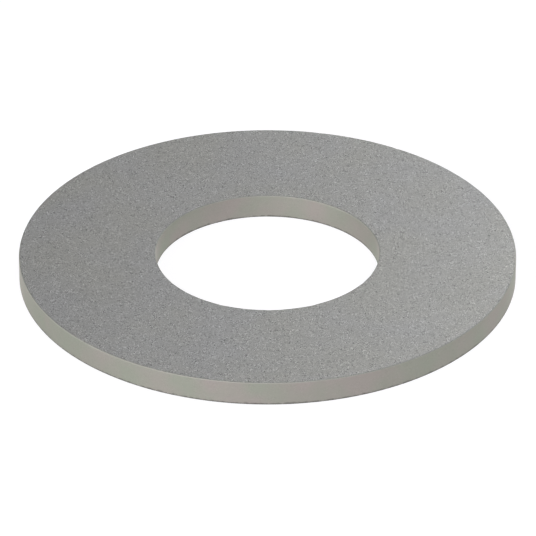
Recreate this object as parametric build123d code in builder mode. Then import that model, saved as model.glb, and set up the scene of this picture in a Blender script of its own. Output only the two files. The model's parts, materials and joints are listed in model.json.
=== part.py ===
"""Flat washer for a half-inch bolt: one ring stamped from stainless-steel sheet.

Frame: millimetres, +Z up along the bolt, origin at the centre of the hole on the
seating face, so that the washer lies on z = 0. The hole, the rim and both flat
faces are the surfaces that other parts meet.
"""

import os

from build123d import *

# Driving dimensions, in millimetres unless a name says otherwise
inch = 25.4
outer_diameter = 1.25 * inch
thickness = inch / 16
bolt_diameter = 0.5 * inch
bolt_clearance = inch / 16  # how much wider the hole is than the bolt
die_roll = 0.08  # radius the die draws into the edges of the seating face
edge_break = 0.05  # radius that tumbling leaves on the edges of the bearing face

# Sizes that follow from them
rim_radius = outer_diameter / 2
hole_radius = (bolt_diameter + bolt_clearance) / 2

# The washer: a ring blanked out of the sheet, with its four edges rounded
with BuildPart() as washer:
    with BuildSketch(Plane.XY):
        Circle(rim_radius)
        Circle(hole_radius, mode=Mode.SUBTRACT)
    extrude(amount=thickness)

    edges_by_height = washer.edges().filter_by(GeomType.CIRCLE).group_by(Axis.Z)
    fillet(edges_by_height[0], radius=die_roll)
    fillet(edges_by_height[-1], radius=edge_break)
washer.part.label = "washer"

os.makedirs("parts", exist_ok=True)
export_step(washer.part, "parts/washer.step")
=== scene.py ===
"""Flat stainless washer for a half-inch bolt, finished and lit on a pale studio table.

Lengths are in metres unless a note says otherwise, in the frame of the CAD model: +Z runs
up along the bolt, the seating face lies on z = 0 and the centre of the hole is at the
origin. The washer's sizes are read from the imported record, so the ring here follows the
CAD ring.
"""

import json
import logging
import math
from dataclasses import dataclass, field
from enum import Enum

import bpy
import numpy as np
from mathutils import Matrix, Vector


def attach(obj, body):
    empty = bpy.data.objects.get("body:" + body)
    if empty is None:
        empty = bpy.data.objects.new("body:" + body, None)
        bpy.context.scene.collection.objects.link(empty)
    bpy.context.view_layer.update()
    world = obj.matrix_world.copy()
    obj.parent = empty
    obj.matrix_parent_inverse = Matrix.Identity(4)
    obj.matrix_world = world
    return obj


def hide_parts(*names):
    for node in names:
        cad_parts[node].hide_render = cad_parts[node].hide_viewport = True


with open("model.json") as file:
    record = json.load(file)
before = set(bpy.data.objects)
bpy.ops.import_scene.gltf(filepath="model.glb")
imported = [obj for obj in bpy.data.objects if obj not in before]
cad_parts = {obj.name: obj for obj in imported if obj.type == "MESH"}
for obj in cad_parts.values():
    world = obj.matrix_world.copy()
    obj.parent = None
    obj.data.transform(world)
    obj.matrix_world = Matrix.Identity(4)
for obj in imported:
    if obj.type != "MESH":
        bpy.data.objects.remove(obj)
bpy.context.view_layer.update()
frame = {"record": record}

MILLIMETRE = 0.001
BODY = "root"
CAD_NODE = "washer"

log = logging.getLogger("washer")


class Zone(Enum):
    """The three kinds of surface on the washer, numbered as the mesh's material slots."""

    FACE = 0
    CUT_WALL = 1
    BROKEN_EDGE = 2


# --------------------------------------------------------------------------- node helper


class NodeBench:
    """A node tree with short ways to add nodes, set their sockets and join them."""

    def __init__(self, tree: bpy.types.NodeTree) -> None:
        """Works on an existing tree.

        Args:
            tree: The material's or the group's node tree.
        """
        self.tree = tree

    def add(
        self, kind: str, inputs: dict[str | int, object] | None = None, **settings: object
    ) -> bpy.types.Node:
        """Adds one node.

        Args:
            kind: The node's class name without its ShaderNode prefix.
            inputs: What goes in each named or numbered socket: a node's output or a plain value.
            **settings: The node's own properties.

        Returns:
            The new node.
        """
        node = self.tree.nodes.new(f"ShaderNode{kind}")
        for name, value in settings.items():
            setattr(node, name, value)
        for socket, value in (inputs or {}).items():
            if isinstance(value, bpy.types.NodeSocket):
                self.tree.links.new(value, node.inputs[socket])
            else:
                node.inputs[socket].default_value = value
        return node

    def maths(self, operation: str, *values: object, clamp: bool = False) -> bpy.types.NodeSocket:
        """Adds one Math node.

        Args:
            operation: The sum to do, as Blender names it.
            *values: Up to three outputs or numbers.
            clamp: Whether the answer is kept between 0 and 1.

        Returns:
            The answer's output.
        """
        node = self.add("Math", dict(enumerate(values)), operation=operation, use_clamp=clamp)
        return node.outputs[0]

    def span(
        self, value: bpy.types.NodeSocket, low: float, high: float, to_low: float, to_high: float
    ) -> bpy.types.NodeSocket:
        """Maps one stretch of numbers onto another, without going past its ends.

        Args:
            value: The output to map.
            low: Where the stretch starts.
            high: Where it ends.
            to_low: What its start becomes.
            to_high: What its end becomes.

        Returns:
            The mapped output.
        """
        stretch = {"Value": value, "From Min": low, "From Max": high}
        ends = {"To Min": to_low, "To Max": to_high}
        return self.add("MapRange", stretch | ends, clamp=True).outputs[0]

    def spread(
        self, noise: bpy.types.NodeSocket, reach: float, to_low: float, to_high: float
    ) -> bpy.types.NodeSocket:
        """Maps the middle of a noise, which hardly ever comes near 0 or 1, onto two numbers.

        Args:
            noise: The noise's output.
            reach: How far from one half the mapped stretch goes, both ways.
            to_low: What the stretch's start becomes.
            to_high: What its end becomes.

        Returns:
            The mapped output.
        """
        return self.span(noise, 0.5 - reach, 0.5 + reach, to_low, to_high)

    def nearest(self, value: bpy.types.NodeSocket, first: float, second: float) -> bpy.types.NodeSocket:
        """Gives the lesser of a value's distances to two numbers.

        Args:
            value: The output to compare.
            first: The first number.
            second: The second number.

        Returns:
            The lesser distance's output.
        """
        to_first = self.maths("ABSOLUTE", self.maths("SUBTRACT", value, first))
        to_second = self.maths("ABSOLUTE", self.maths("SUBTRACT", value, second))
        return self.maths("MINIMUM", to_first, to_second)

    def length(self, vector: bpy.types.NodeSocket) -> bpy.types.NodeSocket:
        """Gives the length of a vector."""
        return self.add("VectorMath", {0: vector}, operation="LENGTH").outputs["Value"]

    def blend(
        self, share: object, first: object, second: object, mode: str = "MIX"
    ) -> bpy.types.NodeSocket:
        """Mixes two colours.

        Args:
            share: How much of the second colour there is.
            first: The first colour.
            second: The second colour.
            mode: How the two are combined.

        Returns:
            The mixed colour's output.
        """
        node = self.add("Mix", data_type="RGBA", blend_type=mode)
        # A Mix node has sockets for numbers and vectors too: those for colours are 6 and 7
        for socket, value in ((0, share), (6, first), (7, second)):
            if isinstance(value, bpy.types.NodeSocket):
                self.tree.links.new(value, node.inputs[socket])
            else:
                node.inputs[socket].default_value = value
        return node.outputs[2]


class EffectGroup:
    """A shader node group with named inputs and outputs, made once and shared."""

    def __init__(self, name: str, inputs: dict[str, float], outputs: dict[str, str]) -> None:
        """Makes the group's sockets and its two end nodes.

        Args:
            name: The group's name.
            inputs: Each number that the group takes, with its usual value.
            outputs: Each output's name and socket type.
        """
        self.tree = bpy.data.node_groups.new(name, "ShaderNodeTree")
        new_socket = self.tree.interface.new_socket
        for label, value in inputs.items():
            new_socket(name=label, in_out="INPUT", socket_type="NodeSocketFloat").default_value = value
        for label, kind in outputs.items():
            new_socket(name=label, in_out="OUTPUT", socket_type=kind)
        self.bench = NodeBench(self.tree)
        self.given = self.tree.nodes.new("NodeGroupInput").outputs
        self.result = self.tree.nodes.new("NodeGroupOutput").inputs

    def put_out(self, **sockets: bpy.types.NodeSocket) -> None:
        """Joins outputs to the group's own, with _ standing for a space in a name."""
        for label, socket in sockets.items():
            self.tree.links.new(socket, self.result[label.replace("_", " ")])

    def place(self, bench: NodeBench, **values: float) -> bpy.types.bpy_prop_collection:
        """Places the group in a material.

        Args:
            bench: The material's node bench.
            **values: The group's inputs, with _ standing for a space in a name.

        Returns:
            The outputs of the placed group.
        """
        node = bench.add("Group", node_tree=self.tree)
        for label, value in values.items():
            node.inputs[label.replace("_", " ")].default_value = value
        return node.outputs


# --------------------------------------------------------------------------- shared effects


def matte_grain_group() -> EffectGroup:
    """Makes the fine matte grain that tumbling leaves all over the steel.

    The grain is one set of random cells in the metal and a soft noise of the same size.
    Each cell has its own tone and its own height, so that neighbouring facets catch the
    light differently. The cell's chance c becomes the cube of 2 c - 1, so that most facets
    lie near the middle and a few are much lighter or darker, and each facet is lightest on
    its crown and darker towards its border. A slower noise makes the grain crisp in some
    patches and faint in others.

    Returns:
        The group. Grain Size is a cell's width in metres. Tone is a mask about 0.5,
        Glint is near 1 on the few facets that get a painted glint, and Height is about 0.5.
    """
    facet_spread = 0.4  # how far chance moves a facet's tone
    crown_tone = 0.25  # how much lighter the crown is than the middle of the grain
    crown_fall = 0.5  # how much the tone falls over one cell's width from the crown
    patches_to_cell = 0.08  # how many crisp or faint patches go into one cell
    patch_reach = 0.12  # how far from its middle the noise passes from faint to crisp
    faint, crisp = 0.5, 1.5  # how strong the grain is in the two kinds of patch
    glint_share = 0.05  # how many of the facets glint

    group = EffectGroup(
        "matte_grain",
        {"Grain Size": 0.08 * MILLIMETRE},
        {"Tone": "NodeSocketFloat", "Glint": "NodeSocketFloat", "Height": "NodeSocketFloat"},
    )
    bench = group.bench
    place = bench.add("TexCoord").outputs["Object"]
    per_metre = bench.maths("DIVIDE", 1.0, group.given["Grain Size"])
    cells = bench.add("TexVoronoi", {"Vector": place, "Scale": per_metre}, feature="F1")
    soft = bench.add("TexNoise", {"Vector": place, "Scale": per_metre, "Detail": 2.0}).outputs["Fac"]

    chance = bench.add("SeparateColor", {0: cells.outputs["Color"]}).outputs
    centred = bench.maths("MULTIPLY_ADD", chance[0], 2.0, -1.0)
    cube = bench.maths("MULTIPLY", centred, bench.maths("MULTIPLY", centred, centred))
    crown = bench.maths("MULTIPLY_ADD", cells.outputs["Distance"], -crown_fall, crown_tone)
    patch_scale = bench.maths("MULTIPLY", per_metre, patches_to_cell)
    patches = bench.add("TexNoise", {"Vector": place, "Scale": patch_scale})
    crispness = bench.spread(patches.outputs["Fac"], patch_reach, faint, crisp)
    facet = bench.maths("MULTIPLY_ADD", cube, facet_spread, crown)
    tone = bench.maths("MULTIPLY_ADD", facet, crispness, 0.5)
    # Painted glint: a few facets chosen at random are marked to be painted lighter, standing in for
    # facets that catch the light
    glint = bench.span(chance[1], 1.0 - glint_share, 1.0, 0.0, 1.0)
    bumps = bench.maths("MULTIPLY_ADD", chance[2], 0.5, bench.maths("MULTIPLY", soft, 0.5))
    group.put_out(Tone=tone, Glint=glint, Height=bumps)
    return group


def handled_tint_group() -> EffectGroup:
    """Makes the faint patches of colour and sheen that rolling oil and handling leave.

    One slow noise is read in two places far apart, the second time with finer detail. The
    first reading says where the steel leans to the warm tint and the second where it is a
    little duller.

    Returns:
        The group. Patch Size is a patch's width in metres, and Warmth and Dulling are
        masks from 0 to 1.
    """
    noise_reach = 0.15  # how far from its middle each noise passes from one patch to another
    second_place = (0.031, 0.017, 0.043)  # where the second noise is read, seen from the first

    group = EffectGroup(
        "handled_tint",
        {"Patch Size": 4.0 * MILLIMETRE},
        {"Warmth": "NodeSocketFloat", "Dulling": "NodeSocketFloat"},
    )
    bench = group.bench
    place = bench.add("TexCoord").outputs["Object"]
    per_metre = bench.maths("DIVIDE", 1.0, group.given["Patch Size"])
    elsewhere = bench.add("Mapping", {"Vector": place, "Location": second_place}).outputs[0]
    hue = bench.add("TexNoise", {"Vector": place, "Scale": per_metre, "Detail": 2.0})
    sheen = bench.add("TexNoise", {"Vector": elsewhere, "Scale": per_metre, "Detail": 3.0})
    group.put_out(
        Warmth=bench.spread(hue.outputs["Fac"], noise_reach, 0.0, 1.0),
        Dulling=bench.spread(sheen.outputs["Fac"], noise_reach, 0.0, 1.0),
    )
    return group


def painted_edge_shade_group(rim_radius: float, hole_radius: float, thickness: float) -> EffectGroup:
    """Makes the thin dark lines beside the edges: painted edge shade beside the edges of the faces, and
    a painted contact shadow at the foot of the walls.

    How far a point lies from the nearest edge is worked out in the ring's cross-section:
    the lesser of its distances to the rim and to the hole is one side of a right angle,
    and the lesser of its distances to the two faces is the other. At the foot of the walls
    only the height counts. A noise makes the lines wider in some places than in others.

    Args:
        rim_radius: Radius of the rim.
        hole_radius: Radius of the hole.
        thickness: Thickness of the washer.

    Returns:
        The group. Line Width is a line's usual width in metres. Line is the painted edge shade's mask,
        1 on an edge and 0 beyond its line, and Foot is the painted contact shadow's mask, 1 on the
        table and 0 above the foot's line.
    """
    ripple_size = 0.3 * MILLIMETRE  # length of the ripples along a line's border
    ripple_reach = 0.2  # how far from its middle the noise passes from narrow to wide
    narrow, wide = 0.6, 1.4  # how wide the line is at its narrowest and widest, in usual widths

    group = EffectGroup(
        "painted_edge_shade",
        {"Line Width": 0.1 * MILLIMETRE},
        {"Line": "NodeSocketFloat", "Foot": "NodeSocketFloat"},
    )
    bench = group.bench
    place = bench.add("TexCoord").outputs["Object"]
    height = bench.add("SeparateXYZ", {0: place}).outputs["Z"]
    flattened = bench.add("Mapping", {"Vector": place, "Scale": (1.0, 1.0, 0.0)}).outputs[0]
    radius = bench.length(flattened)

    to_wall = bench.nearest(radius, rim_radius, hole_radius)
    to_face = bench.nearest(height, 0.0, thickness)
    away = bench.length(bench.add("CombineXYZ", {0: to_wall, 1: to_face}).outputs[0])
    ripples = bench.add("TexNoise", {"Vector": place, "Scale": 1.0 / ripple_size, "Detail": 2.0})
    unevenness = bench.spread(ripples.outputs["Fac"], ripple_reach, narrow, wide)
    width = bench.maths("MULTIPLY", group.given["Line Width"], unevenness)
    # Two painted masks: Line is painted shade beside every edge, Foot is a painted contact shadow at
    # the foot
    group.put_out(
        Line=bench.maths("SUBTRACT", 1.0, bench.maths("DIVIDE", away, width), clamp=True),
        Foot=bench.maths("SUBTRACT", 1.0, bench.maths("DIVIDE", height, width), clamp=True),
    )
    return group


@dataclass
class SharedEffects:
    """The effects that more than one finish uses.

    Attributes:
        painted_edge_shade: The dark lines beside the edges and at the foot.
        grain: The matte grain.
        tint: The patches of tint.
    """

    painted_edge_shade: EffectGroup
    grain: EffectGroup = field(default_factory=matte_grain_group)
    tint: EffectGroup = field(default_factory=handled_tint_group)


# --------------------------------------------------------------------------- finishes


def grey(level: float) -> tuple[float, float, float, float]:
    """Gives a neutral colour of that linear level."""
    return (level, level, level, 1.0)


def tinted(level: float, tint: tuple[float, float, float]) -> tuple[float, float, float, float]:
    """Gives a colour of that linear level, leaning to a tint."""
    return (level * tint[0], level * tint[1], level * tint[2], 1.0)


class SteelSurface:
    """A new metallic material, with the joints that each finish of the washer makes."""

    def __init__(self, name: str) -> None:
        """Starts the material.

        Args:
            name: The material's name.
        """
        self.material = bpy.data.materials.new(name)
        self.material.use_nodes = True
        self.bench = NodeBench(self.material.node_tree)
        self.steel = self.material.node_tree.nodes["Principled BSDF"]
        self.steel.inputs["Metallic"].default_value = 1.0

    def facets(self, tone: bpy.types.NodeSocket, contrast: float) -> bpy.types.NodeSocket:
        """Spreads the grain's tone evenly to both sides of 1."""
        return self.bench.span(tone, 0.0, 1.0, 1.0 - contrast, 1.0 + contrast)

    def lined(
        self, shade: bpy.types.NodeSocket, line: bpy.types.NodeSocket, depth: float
    ) -> bpy.types.NodeSocket:
        """Darkens a shade along a line.

        Args:
            shade: How light the steel is without the line.
            line: The line's mask.
            depth: How much darker the steel is where the mask is 1, as a share.

        Returns:
            The darkened shade.
        """
        kept = self.bench.maths("MULTIPLY_ADD", line, -depth, 1.0)
        return self.bench.maths("MULTIPLY", shade, kept)

    def shaded(self, plain: object, shade: bpy.types.NodeSocket) -> bpy.types.NodeSocket:
        """Makes a colour lighter or darker by a factor.

        Args:
            plain: The colour, or its output.
            shade: The factor's output.

        Returns:
            The shaded colour's output.
        """
        factor = self.bench.add("CombineXYZ", {0: shade, 1: shade, 2: shade}).outputs[0]
        return self.bench.blend(1.0, plain, factor, "MULTIPLY")

    def varied(self, value: bpy.types.NodeSocket, swing: float, middle: float) -> bpy.types.NodeSocket:
        """Makes a number that swings about its middle as the value goes from 0 to 1."""
        return self.bench.maths("MULTIPLY_ADD", value, swing, middle - 0.5 * swing)

    def join(self, **sockets: bpy.types.NodeSocket) -> None:
        """Joins outputs to the steel's sockets, with _ standing for a space in a name."""
        for label, socket in sockets.items():
            self.material.node_tree.links.new(socket, self.steel.inputs[label.replace("_", " ")])


@dataclass(frozen=True)
class TumbledFace:
    """The flat faces: neutral matte steel with fine grain all over.

    Attributes:
        level: Linear reflectance of the middle of the grain.
        grain_contrast: How far the grain's lightest and darkest facets lie from the middle.
        glint: How much lighter the few brightest facets are painted, as a painted glint.
        grain_size: Width of a grain facet.
        grain_depth: Height between the lowest and the highest facet.
        roughness: Microscopic roughness of the steel.
        grain_roughness: How much rougher the lightest facets are than the darkest.
        cool_tint: The tint where the face leans to blue.
        warm_tint: The tint where it leans to straw.
        patch_size: Width of the patches that handling leaves.
        dulled_shade: How much darker the dull patches are.
        dulled_roughness: How much rougher the dull patches are.
        line_width: Width of the dark line beside the edges.
        painted_outline_shade: How much darker the line is at the very edge.
    """

    name: str = "tumbled_face"
    level: float = 0.528
    grain_contrast: float = 0.77
    glint: float = 0.12
    grain_size: float = 0.042 * MILLIMETRE
    grain_depth: float = 0.006 * MILLIMETRE
    roughness: float = 0.46
    grain_roughness: float = 0.06
    cool_tint: tuple[float, float, float] = (1.0, 1.0, 1.005)
    warm_tint: tuple[float, float, float] = (1.004, 1.0, 0.97)
    patch_size: float = 5.0 * MILLIMETRE
    dulled_shade: float = 0.02
    dulled_roughness: float = 0.02
    line_width: float = 0.12 * MILLIMETRE
    painted_outline_shade: float = 0.36

    def material(self, effects: SharedEffects) -> bpy.types.Material:
        """Builds the material.

        Args:
            effects: The shared effects.

        Returns:
            The new material.
        """
        surface = SteelSurface(self.name)
        bench = surface.bench
        grain = effects.grain.place(bench, Grain_Size=self.grain_size)
        tint = effects.tint.place(bench, Patch_Size=self.patch_size)
        line = effects.painted_edge_shade.place(bench, Line_Width=self.line_width)

        facets = surface.facets(grain["Tone"], self.grain_contrast)
        # Painted glint: the marked facets are made lighter in colour
        bright = bench.maths("MULTIPLY_ADD", grain["Glint"], self.glint, facets)
        worn = bench.maths("MULTIPLY_ADD", tint["Dulling"], -self.dulled_shade, bright)
        # Painted shade: the face's colour is darkened in a thin line beside every edge, standing in for
        # the edges' shade
        lined = surface.lined(worn, line["Line"], self.painted_outline_shade)
        cool, warm = tinted(self.level, self.cool_tint), tinted(self.level, self.warm_tint)
        colour = surface.shaded(bench.blend(tint["Warmth"], cool, warm), lined)
        grained = surface.varied(grain["Tone"], self.grain_roughness, self.roughness)
        rough = bench.maths("MULTIPLY_ADD", tint["Dulling"], self.dulled_roughness, grained)
        bump = bench.add("Bump", {"Distance": self.grain_depth, "Height": grain["Height"]})

        surface.join(Base_Color=colour, Roughness=rough, Normal=bump.outputs[0])
        return surface.material


@dataclass(frozen=True)
class DrawnWall:
    """The rim and the hole's wall: satin steel, drawn smooth by the punch and slightly warm.

    Attributes:
        level: Linear reflectance of the wall.
        cool_tint: The tint where the wall leans to olive.
        warm_tint: The tint where it leans to straw.
        glancing_tint: The tint of what the wall mirrors at a glancing angle.
        roughness: Microscopic roughness of the steel.
        stroke_width: Width of the faint lines that run along the punch's travel.
        stroke_slimness: How wide those lines are for their length.
        stroke_depth: Height of those lines.
        stroke_shade: How much lighter the lightest lines are than the darkest.
        stroke_roughness: How much rougher the lightest lines are than the darkest.
        grain_size: Width of a grain facet.
        grain_contrast: How far the grain's facets lie from the middle.
        patch_size: Width of the patches of tint.
        dulled_roughness: How much rougher the dull patches are.
        foot_width: Height of the painted contact shadow at the wall's foot.
        painted_foot_shadow: How much darker the line is at the very foot.
    """

    name: str = "drawn_wall"
    # The wall's steel is darker than the face's: partly its own drawn finish, partly painted shade that
    # offsets the bright glowing table which the wall mirrors
    level: float = 0.325
    cool_tint: tuple[float, float, float] = (0.955, 1.0, 0.855)
    warm_tint: tuple[float, float, float] = (1.06, 0.985, 0.915)
    glancing_tint: tuple[float, float, float] = (0.91, 0.92, 0.88)
    roughness: float = 0.5
    stroke_width: float = 0.09 * MILLIMETRE
    stroke_slimness: float = 0.03
    stroke_depth: float = 0.0012 * MILLIMETRE
    stroke_shade: float = 0.04
    stroke_roughness: float = 0.05
    grain_size: float = 0.07 * MILLIMETRE
    grain_contrast: float = 0.05
    patch_size: float = 2.8 * MILLIMETRE
    dulled_roughness: float = 0.03
    foot_width: float = 0.16 * MILLIMETRE
    painted_foot_shadow: float = 0.9

    def material(self, effects: SharedEffects) -> bpy.types.Material:
        """Builds the material.

        Args:
            effects: The shared effects.

        Returns:
            The new material.
        """
        surface = SteelSurface(self.name)
        bench = surface.bench
        grain = effects.grain.place(bench, Grain_Size=self.grain_size)
        tint = effects.tint.place(bench, Patch_Size=self.patch_size)
        line = effects.painted_edge_shade.place(bench, Line_Width=self.foot_width)

        place = bench.add("TexCoord").outputs["Object"]
        drawn_out = {"Vector": place, "Scale": (1.0, 1.0, self.stroke_slimness)}
        upright = bench.add("Mapping", drawn_out).outputs[0]
        streaks = {"Vector": upright, "Scale": 1.0 / self.stroke_width, "Detail": 3.0}
        stroke = bench.add("TexNoise", streaks).outputs["Fac"]

        facets = surface.facets(grain["Tone"], self.grain_contrast)
        stroked = bench.maths("ADD", facets, surface.varied(stroke, self.stroke_shade, 0.0))
        # Painted contact shadow: the wall's colour is darkened towards its foot, where it meets the
        # table
        lined = surface.lined(stroked, line["Foot"], self.painted_foot_shadow)
        cool, warm = tinted(self.level, self.cool_tint), tinted(self.level, self.warm_tint)
        colour = surface.shaded(bench.blend(tint["Warmth"], cool, warm), lined)
        streaked = surface.varied(stroke, self.stroke_roughness, self.roughness)
        rough = bench.maths("MULTIPLY_ADD", tint["Dulling"], self.dulled_roughness, streaked)
        bump = bench.add("Bump", {"Distance": self.stroke_depth, "Height": stroke})

        surface.steel.inputs["Specular Tint"].default_value = tinted(1.0, self.glancing_tint)
        surface.join(Base_Color=colour, Roughness=rough, Normal=bump.outputs[0])
        return surface.material


@dataclass(frozen=True)
class RoundedEdge:
    """The four small rounded edges, left rougher than the rest by the tumbling.

    Attributes:
        level: Linear reflectance of the edge.
        tint: The edge's tint.
        roughness: Microscopic roughness of the steel.
        grain_roughness: How much rougher the lightest facets are than the darkest.
        grain_size: Width of a grain facet.
        grain_contrast: How far the grain's facets lie from the middle.
        foot_width: Height of the painted contact shadow at the foot.
        painted_foot_shadow: How much darker the line is at the very foot.
    """

    name: str = "rounded_edge"
    level: float = 0.45
    tint: tuple[float, float, float] = (0.98, 1.0, 0.92)
    roughness: float = 0.8
    grain_roughness: float = 0.08
    grain_size: float = 0.07 * MILLIMETRE
    grain_contrast: float = 0.12
    foot_width: float = 0.16 * MILLIMETRE
    painted_foot_shadow: float = 0.9

    def material(self, effects: SharedEffects) -> bpy.types.Material:
        """Builds the material.

        Args:
            effects: The shared effects.

        Returns:
            The new material.
        """
        surface = SteelSurface(self.name)
        bench = surface.bench
        grain = effects.grain.place(bench, Grain_Size=self.grain_size)
        line = effects.painted_edge_shade.place(bench, Line_Width=self.foot_width)

        facets = surface.facets(grain["Tone"], self.grain_contrast)
        # Painted contact shadow: the lower edges' colour is darkened towards the table
        lined = surface.lined(facets, line["Foot"], self.painted_foot_shadow)
        colour = surface.shaded(tinted(self.level, self.tint), lined)
        rough = surface.varied(grain["Tone"], self.grain_roughness, self.roughness)

        surface.join(Base_Color=colour, Roughness=rough)
        return surface.material


# --------------------------------------------------------------------------- the washer


def even(count: int) -> np.ndarray:
    """Gives count + 1 evenly spaced stations from 0 to 1."""
    return np.linspace(0.0, 1.0, count + 1)


def crowded_ends(count: int) -> np.ndarray:
    """Gives count + 1 stations from 0 to 1, crowded at both ends, as half a cosine wave."""
    return 0.5 - 0.5 * np.cos(np.pi * even(count))


@dataclass
class Stretch:
    """One stretch of the ring's cross-section, carried right round the hole.

    Attributes:
        zone: The kind of surface.
        radius: Distance from the axis, one row for each angle and one column for each station.
        height: Height above the table, in the same rows and columns.
    """

    zone: Zone
    radius: np.ndarray
    height: np.ndarray

    def steps(self) -> int:
        """Gives the number of steps along the stretch."""
        return self.radius.shape[1] - 1

    def step_lengths(self) -> np.ndarray:
        """Gives each step's length, from the mean cross-section by the rule of Pythagoras."""
        return np.hypot(np.diff(self.radius.mean(0)), np.diff(self.height.mean(0)))


@dataclass
class StampedRing:
    """The washer itself: one closed ring of steel sheet.

    Attributes:
        outer_radius: Radius of the rim.
        hole_radius: Radius of the hole.
        thickness: Thickness of the sheet.
        die_roll: Radius that the die draws into the edges of the seating face.
        edge_break: Radius that tumbling leaves on the edges of the bearing face.
        steps_round: Steps round the ring.
        face_steps: Steps across each flat face.
        wall_steps: Steps up each wall.
        edge_steps: Steps round each small edge.
        edge_unevenness: How far an edge's radius wanders, as a share of it.
        slow_waves: How many times each slow wave of a wander goes up and down round the ring.
        quick_waves: The same for its quick waves.
        least_wave: Height of the lowest wave that chance may give, of 1 for the highest.
        nick_count: How many tiny nicks tumbling leaves in each edge of the bearing face.
        nick_width: Least and greatest width of a nick, in millimetres.
        nick_growth: How much a nick widens the edge's radius at its deepest, as a share of it.
        least_nick: Depth of the shallowest nick, of 1 for the deepest.
        seed: Seed of all that is uneven.
    """

    outer_radius: float
    hole_radius: float
    thickness: float
    die_roll: float
    edge_break: float
    steps_round: int = 1024
    face_steps: int = 20
    wall_steps: int = 9
    edge_steps: int = 7
    edge_unevenness: float = 0.12
    slow_waves: tuple[int, ...] = (1, 2, 3, 5)
    quick_waves: tuple[int, ...] = (9, 14, 23, 37)
    least_wave: float = 0.4
    nick_count: int = 14
    nick_width: tuple[float, float] = (0.12, 0.35)
    nick_growth: float = 0.9
    least_nick: float = 0.3
    seed: int = 7

    @classmethod
    def from_record(cls, record: dict) -> "StampedRing":
        """Reads the washer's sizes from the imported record.

        The rim and the hole are mounts with a radius, and the hole's wall stops short of
        the two faces by the two edge radii.

        Args:
            record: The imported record.

        Returns:
            The ring at its CAD size.
        """
        mounts = {mount["name"]: mount for mount in record["mounts"]}
        hole = mounts["bolt_hole"]
        top = mounts["bearing_face"]["pos_m"][2]
        middle, half = hole["pos_m"][2], hole["dims"]["length_mm"] * MILLIMETRE / 2
        return cls(
            outer_radius=mounts["rim"]["dims"]["r_mm"] * MILLIMETRE,
            hole_radius=hole["dims"]["r_mm"] * MILLIMETRE,
            thickness=top,
            die_roll=middle - half,
            edge_break=top - middle - half,
        )

    def wander(self, rng: np.random.Generator, waves: tuple[int, ...]) -> np.ndarray:
        """Makes a smooth closed wander round the ring, between about -1 and 1.

        It is a sum of cosines of the angle, one for each number of waves, each with a
        random phase and a random share.

        Args:
            rng: The seeded generator.
            waves: How many waves each cosine has round the ring.

        Returns:
            One value for each angle.
        """
        phase = rng.uniform(0.0, 2.0 * np.pi, len(waves))
        share = rng.uniform(self.least_wave, 1.0, len(waves))
        cosines = np.cos(np.outer(self.angles(), waves) + phase)
        return cosines @ share / share.sum()

    def nicks(self, rng: np.random.Generator, radius: float) -> np.ndarray:
        """Makes the nicks in one edge: each is a bell curve of the angle.

        Args:
            rng: The seeded generator.
            radius: Radius of the edge's circle.

        Returns:
            The added share of the edge's radius, one value for each angle.
        """
        count = self.nick_count
        where = rng.uniform(0.0, 2.0 * np.pi, count)
        width = rng.uniform(*self.nick_width, count) * MILLIMETRE / radius
        depth = rng.uniform(self.least_nick, 1.0, count) * self.nick_growth
        away = np.angle(np.exp(1j * (self.angles()[:, None] - where)))
        return (depth * np.exp(-((away / width) ** 2))).sum(1)

    def uneven_edge(
        self, rng: np.random.Generator, size: float, radius: float, nicked: bool
    ) -> np.ndarray:
        """Works out one edge's own radius all round: its size, plus a wander, plus nicks.

        Args:
            rng: The seeded generator.
            size: The edge's radius where it is even.
            radius: Radius of the circle that the edge runs along.
            nicked: Whether tumbling has left nicks in it.

        Returns:
            The edge's radius, one value for each angle.
        """
        slow = self.wander(rng, self.slow_waves)
        quick = self.wander(rng, self.quick_waves)
        waves = 0.5 * slow + 0.5 * quick
        added = self.nicks(rng, radius) if nicked else 0.0
        return size * (1.0 + self.edge_unevenness * waves + added)

    def angles(self) -> np.ndarray:
        """Gives the angle of each step round the ring."""
        return np.linspace(0.0, 2.0 * np.pi, self.steps_round, endpoint=False)

    def corner(
        self, centre_radius: np.ndarray, centre_height: np.ndarray, size: np.ndarray, start: float
    ) -> Stretch:
        """Rounds one edge: a quarter turn, clockwise, about a centre inside the metal.

        At angle a of the arc the point lies at the centre plus size times (cos a, sin a).

        Args:
            centre_radius: Distance of the arc's centre from the axis, for each angle.
            centre_height: Height of the arc's centre, for each angle.
            size: The arc's radius, for each angle.
            start: The angle in degrees at which the quarter turn starts.

        Returns:
            The rounded edge.
        """
        turn = np.radians(start - 90.0 * even(self.edge_steps))
        radius = centre_radius[:, None] + size[:, None] * np.cos(turn)
        height = centre_height[:, None] + size[:, None] * np.sin(turn)
        return Stretch(Zone.BROKEN_EDGE, radius, height)

    def straight(self, zone: Zone, start: Stretch, end: Stretch, steps: int) -> Stretch:
        """Joins two rounded edges with a straight line, its stations crowded at both ends.

        Args:
            zone: The kind of surface between them.
            start: The edge that the line leaves.
            end: The edge that it reaches.
            steps: Steps along the line.

        Returns:
            The face or wall between the two edges.
        """
        share = crowded_ends(steps)
        radius = start.radius[:, -1:] * (1.0 - share) + end.radius[:, :1] * share
        height = start.height[:, -1:] * (1.0 - share) + end.height[:, :1] * share
        return Stretch(zone, radius, height)

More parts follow.
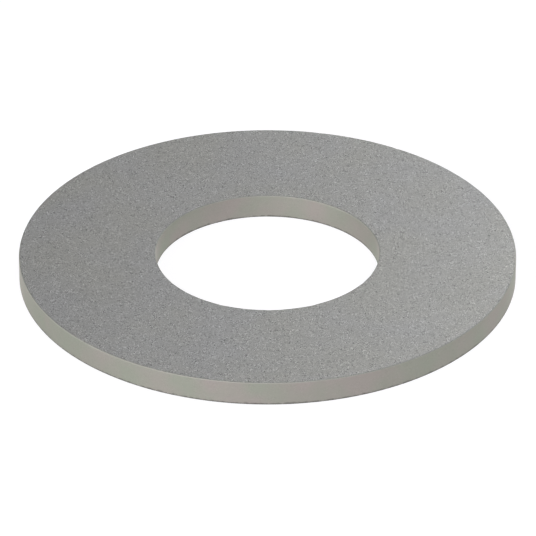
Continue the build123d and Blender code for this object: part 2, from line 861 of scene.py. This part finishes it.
    def cross_section(self) -> list[Stretch]:
        """Works out the closed cross-section, clockwise from the top of the hole.

        Returns:
            The bearing face, the rim with its two edges, the seating face and the hole's
            wall with its two edges, in that order.
        """
        rng = np.random.default_rng(self.seed)
        rim, hole, top = self.outer_radius, self.hole_radius, self.thickness
        rim_top = self.uneven_edge(rng, self.edge_break, rim, nicked=True)
        rim_low = self.uneven_edge(rng, self.die_roll, rim, nicked=False)
        hole_low = self.uneven_edge(rng, self.die_roll, hole, nicked=False)
        hole_top = self.uneven_edge(rng, self.edge_break, hole, nicked=True)

        upper_rim = self.corner(rim - rim_top, top - rim_top, rim_top, 90.0)
        lower_rim = self.corner(rim - rim_low, rim_low, rim_low, 0.0)
        lower_hole = self.corner(hole + hole_low, hole_low, hole_low, -90.0)
        upper_hole = self.corner(hole + hole_top, top - hole_top, hole_top, -180.0)
        return [
            self.straight(Zone.FACE, upper_hole, upper_rim, self.face_steps),
            upper_rim,
            self.straight(Zone.CUT_WALL, upper_rim, lower_rim, self.wall_steps),
            lower_rim,
            self.straight(Zone.FACE, lower_rim, lower_hole, self.face_steps),
            lower_hole,
            self.straight(Zone.CUT_WALL, lower_hole, upper_hole, self.wall_steps),
            upper_hole,
        ]

    def surface(self) -> tuple[np.ndarray, np.ndarray, np.ndarray]:
        """Carries the cross-section round the hole.

        A point at angle a, r from the axis and z high lies at (r cos a, r sin a, z). Each
        stretch's last station is the next one's first, so it is left out, and the last
        stretch runs back into the first, so the surface is closed both ways.

        Returns:
            The points (angle, station, xyz), the four corners of each face, and each
            face's material slot.
        """
        section = self.cross_section()
        radius = np.concatenate([stretch.radius[:, :-1] for stretch in section], axis=1)
        height = np.concatenate([stretch.height[:, :-1] for stretch in section], axis=1)
        zones = np.concatenate([np.full(stretch.steps(), stretch.zone.value) for stretch in section])
        angle = self.angles()[:, None]
        points = np.stack([radius * np.cos(angle), radius * np.sin(angle), height], axis=-1)

        rounds, stations = radius.shape
        here = np.arange(rounds)[:, None] * stations + np.arange(stations)
        along = np.roll(here, -1, axis=1)
        across = np.roll(here, -1, axis=0)
        both = np.roll(along, -1, axis=0)
        faces = np.stack([here, along, both, across], axis=-1).reshape(-1, 4)
        return points.reshape(-1, 3), faces, np.tile(zones, rounds)

    def build(self) -> bpy.types.Object:
        """Makes the washer's mesh.

        Returns:
            The washer at the origin, with its material slots still empty.
        """
        points, faces, zones = self.surface()
        mesh = bpy.data.meshes.new("washer_ring")
        mesh.from_pydata(points, [], faces)
        mesh.polygons.foreach_set("material_index", zones.astype(np.int32))
        mesh.polygons.foreach_set("use_smooth", np.ones(len(faces), dtype=bool))
        BakeSheet(self).lay_out(mesh)
        mesh.update()
        ring = bpy.data.objects.new("washer_ring", mesh)
        bpy.context.scene.collection.objects.link(ring)
        return ring

    def dress(self, ring: bpy.types.Object, effects: SharedEffects) -> None:
        """Gives each zone its finish and says what the ring stands for.

        Args:
            ring: The washer.
            effects: The shared effects.
        """
        finishes = {
            Zone.FACE: TumbledFace(),
            Zone.CUT_WALL: DrawnWall(),
            Zone.BROKEN_EDGE: RoundedEdge(),
        }
        for zone in Zone:
            ring.data.materials.append(finishes[zone].material(effects))
        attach(ring, BODY)
        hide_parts(CAD_NODE)


@dataclass
class BakeSheet:
    """The flat map of the ring's surface: strips of the unrolled ring, laid in rows.

    A row runs along the angle and its height is the length along the cross-section. Each
    face takes two rows, the rim with its edges two and the hole's wall with its edges one.

    Attributes:
        ring: The ring that is mapped.
        name: The map's name.
        margin: Clear border round every row, as a share of the sheet.
        hair: A share of a row too small to see, which keeps rounding out of the count of rows.
    """

    ring: StampedRing
    name: str = "OFBake"
    margin: float = 0.004
    hair: float = 1e-9

    def lay_out(self, mesh: bpy.types.Mesh) -> None:
        """Writes the map.

        A strip that is cut into n rows goes n times across the sheet in one turn of the
        ring. So a step at share t of the turn lies in row floor(n t) of its strip, and as
        far across the sheet as n t is past that row. Its bottom is the row's own, plus the
        scaled length of the cross-section that comes before it in the strip.

        Args:
            mesh: The ring's mesh, its faces in order of angle and then of station.
        """
        section = self.ring.cross_section()
        counts = [stretch.steps() for stretch in section]
        step_length = np.concatenate([stretch.step_lengths() for stretch in section])
        # The stretches that lie side by side in one strip, and how many rows it is cut into
        strips = ((counts[0:1], 2), (counts[1:4], 2), (counts[4:5], 2), (counts[5:8], 1))
        strip_steps = [sum(group) for group, _ in strips]
        cuts = [cut for _, cut in strips]
        ends = np.cumsum(strip_steps)
        starts = ends - strip_steps
        tall = [step_length[start:end].sum() for start, end in zip(starts, ends)]
        free = 1.0 - self.margin * (sum(cuts) + 1)
        scale = free / sum(height * cut for height, cut in zip(tall, cuts))

        row_bottom = np.zeros((max(cuts), len(step_length)))
        cut_of = np.repeat(cuts, strip_steps)
        floor = self.margin
        for start, end, height, cut in zip(starts, ends, tall, cuts):
            climb = np.concatenate([[0.0], np.cumsum(step_length[start:end])[:-1]]) * scale
            for row in range(cut):
                row_bottom[row, start:end] = floor + climb
                floor += height * scale + self.margin

        steps_round = self.ring.steps_round
        across = np.arange(steps_round)[:, None] * cut_of / steps_round
        row = np.floor(across + self.hair).astype(int)
        usable = 1.0 - 2.0 * self.margin
        left = self.margin + (across - row) * usable
        right = left + cut_of / steps_round * usable
        bottom = np.take_along_axis(row_bottom, row, axis=0)
        top = bottom + step_length * scale
        face_corners = np.stack([left, bottom, left, top, right, top, right, bottom], axis=-1)
        sheet = mesh.uv_layers.new(name=self.name)
        sheet.data.foreach_set("uv", face_corners.astype(np.float32).ravel())


# --------------------------------------------------------------------------- the studio


@dataclass
class StudioTable:
    """The plain pale table that the washer lies on.

    Attributes:
        half_width: Half of the square's side.
        gap: How far its top lies below the seating face.
        level: Linear reflectance.
        glow: Strength of the light that comes up through the top and softens the shadows.
        glow_tint: The colour of that light.
    """

    half_width: float = 3.0
    gap: float = 0.001 * MILLIMETRE
    level: float = 0.2
    glow: float = 0.89
    glow_tint: tuple[float, float, float] = (0.985, 0.985, 1.0)

    def build(self) -> bpy.types.Object:
        """Makes the table top as a grid of corners (x, y) at one height.

        Returns:
            The table.
        """
        side = np.array([-self.half_width, self.half_width])
        x, y = np.meshgrid(side, side)
        points = np.stack([x.ravel(), y.ravel(), np.full(x.size, -self.gap)], axis=-1)
        mesh = bpy.data.meshes.new("table_top")
        mesh.from_pydata(points, [], [(0, 1, 3, 2)])
        mesh.materials.append(self.material())
        table = bpy.data.objects.new("table_top", mesh)
        bpy.context.scene.collection.objects.link(table)
        return table

    def material(self) -> bpy.types.Material:
        """Makes the table's matte surface, which looks nearly white by its own glow.

        Returns:
            The new material.
        """
        made = bpy.data.materials.new("pale_table")
        made.use_nodes = True
        card = made.node_tree.nodes["Principled BSDF"]
        card.inputs["Base Color"].default_value = grey(self.level)
        card.inputs["Roughness"].default_value = 1.0
        card.inputs["Specular IOR Level"].default_value = 0.0
        card.inputs["Emission Color"].default_value = tinted(1.0, self.glow_tint)
        card.inputs["Emission Strength"].default_value = self.glow
        return made


class BoxRow(Enum):
    """The rows of lamps: degrees above the table, and each lamp's width and height."""

    LOW = (12.0, 0.45, 0.28)
    MIDDLE = (32.0, 0.45, 0.45)
    HIGH = (60.0, 0.55, 0.55)


@dataclass(frozen=True)
class SoftBox:
    """One soft rectangular lamp that faces the washer.

    Attributes:
        name: The lamp's name.
        row: The row that it hangs in.
        azimuth: Where it stands, in degrees from +X towards +Y.
        watts: Its power.
        tint: Its colour.
        distance: How far from the washer.
    """

    name: str
    row: BoxRow
    azimuth: float
    watts: float
    tint: tuple[float, float, float] = (1.0, 1.0, 1.0)
    distance: float = 0.8

    def build(self) -> bpy.types.Object:
        """Hangs the lamp, facing the origin.

        Returns:
            The lamp.
        """
        degrees_up, width, height = self.row.value
        lamp = bpy.data.lights.new(self.name, "AREA")
        lamp.shape = "RECTANGLE"
        lamp.size, lamp.size_y = width, height
        lamp.energy = self.watts
        lamp.color = self.tint
        box = bpy.data.objects.new(self.name, lamp)
        azimuth, elevation = math.radians(self.azimuth), math.radians(degrees_up)
        level = math.cos(elevation)
        towards = Vector((level * math.cos(azimuth), level * math.sin(azimuth), math.sin(elevation)))
        box.location = towards * self.distance
        box.rotation_mode = "QUATERNION"
        box.rotation_quaternion = towards.to_track_quat("Z", "Y")
        box.visible_camera = False
        bpy.context.scene.collection.objects.link(box)
        return box


@dataclass
class Studio:
    """The soft light round the table: large dim lamps, so that the steel mirrors none as a spot.

    Attributes:
        room: Linear brightness of the light that comes from the room itself.
        backdrop: Linear brightness of the plain wall that is seen behind the table.
        boxes: The lamps.
    """

    room: float = 0.15
    backdrop: float = 1.0
    boxes: tuple[SoftBox, ...] = (
        SoftBox("low_left", BoxRow.LOW, 210.0, 1.5),
        SoftBox("mid_left", BoxRow.MIDDLE, 210.0, 1.54, (1.0, 1.0, 0.82)),
        SoftBox("low_front_left", BoxRow.LOW, 240.0, 1.306),
        SoftBox("mid_front_left", BoxRow.MIDDLE, 240.0, 1.54, (1.0, 0.82, 1.0)),
        SoftBox("low_front", BoxRow.LOW, 270.0, 0.632, (1.0, 0.82, 1.0)),
        SoftBox("mid_front", BoxRow.MIDDLE, 270.0, 1.26),
        SoftBox("low_back_right", BoxRow.LOW, 60.0, 1.36),
        SoftBox("mid_back_right", BoxRow.MIDDLE, 60.0, 1.51, (0.98, 1.0, 0.993)),
        SoftBox("high_right", BoxRow.HIGH, 15.0, 1.619),
    )

    def build(self) -> None:
        """Lights the room and hangs the lamps, with plain display colours.

        The backdrop's brightness is only what the camera sees. The washer and the table
        are lit by the room's.
        """
        scene = bpy.context.scene
        world = bpy.data.worlds.new("room")
        world.use_nodes = True
        bench = NodeBench(world.node_tree)
        seen = bench.add("LightPath").outputs["Is Camera Ray"]
        colour = bench.blend(seen, grey(self.room), grey(self.backdrop))
        world.node_tree.links.new(colour, world.node_tree.nodes["Background"].inputs["Color"])
        scene.world = world
        for box in self.boxes:
            box.build()
        scene.view_settings.view_transform = "Standard"


@dataclass
class StudioCamera:
    """A long lens that looks down on the washer from the front.

    Attributes:
        elevation: Angle above the table, in degrees, seen from the centre of the bearing face.
        distance: Distance from that centre, in outer radii of the washer.
        aim_right: How far to the right of that centre the lens points, in outer radii.
        aim_front: How far in front of it, in outer radii.
        focal_length: Focal length in millimetres.
        film_width: Width of the film in millimetres.
        nearest: Distance at which the camera starts to see.
        farthest: Distance at which it stops.
    """

    elevation: float = 30.59
    distance: float = 23.37
    aim_right: float = 0.002
    aim_front: float = 0.127
    focal_length: float = 390.0
    film_width: float = 36.0
    nearest: float = 0.01
    farthest: float = 10.0

    def build(self, washer: StampedRing) -> bpy.types.Object:
        """Sets up the camera.

        Args:
            washer: The ring that it looks at.

        Returns:
            The camera.
        """
        centre = Vector((0.0, 0.0, washer.thickness))
        radius = washer.outer_radius
        angle = math.radians(self.elevation)
        stand = centre + Vector((0.0, -math.cos(angle), math.sin(angle))) * (self.distance * radius)
        aim = centre + Vector((self.aim_right, -self.aim_front, 0.0)) * radius
        lens = bpy.data.cameras.new("studio_camera")
        lens.lens = self.focal_length
        lens.sensor_width = self.film_width
        lens.clip_start = self.nearest
        lens.clip_end = self.farthest
        camera = bpy.data.objects.new("studio_camera", lens)
        camera.location = stand
        camera.rotation_mode = "QUATERNION"
        camera.rotation_quaternion = (aim - stand).to_track_quat("-Z", "Y")
        bpy.context.scene.collection.objects.link(camera)
        bpy.context.scene.camera = camera
        return camera


# --------------------------------------------------------------------------- putting it together


def report(piece: bpy.types.Object) -> None:
    """Logs a finished piece's name and how many faces it has."""
    log.info("%s: %d faces", piece.name, len(piece.data.polygons))


def main() -> None:
    """Sets up the camera, then builds and dresses the washer, then the table and the light."""
    logging.basicConfig(level=logging.INFO, format="%(name)s: %(message)s")
    washer = StampedRing.from_record(frame["record"])
    StudioCamera().build(washer)

    ring = washer.build()
    painted_edge_shade = painted_edge_shade_group(washer.outer_radius, washer.hole_radius, washer.thickness)
    washer.dress(ring, SharedEffects(painted_edge_shade))
    report(ring)

    report(StudioTable().build())
    Studio().build()


if __name__ == "__main__":
    main()
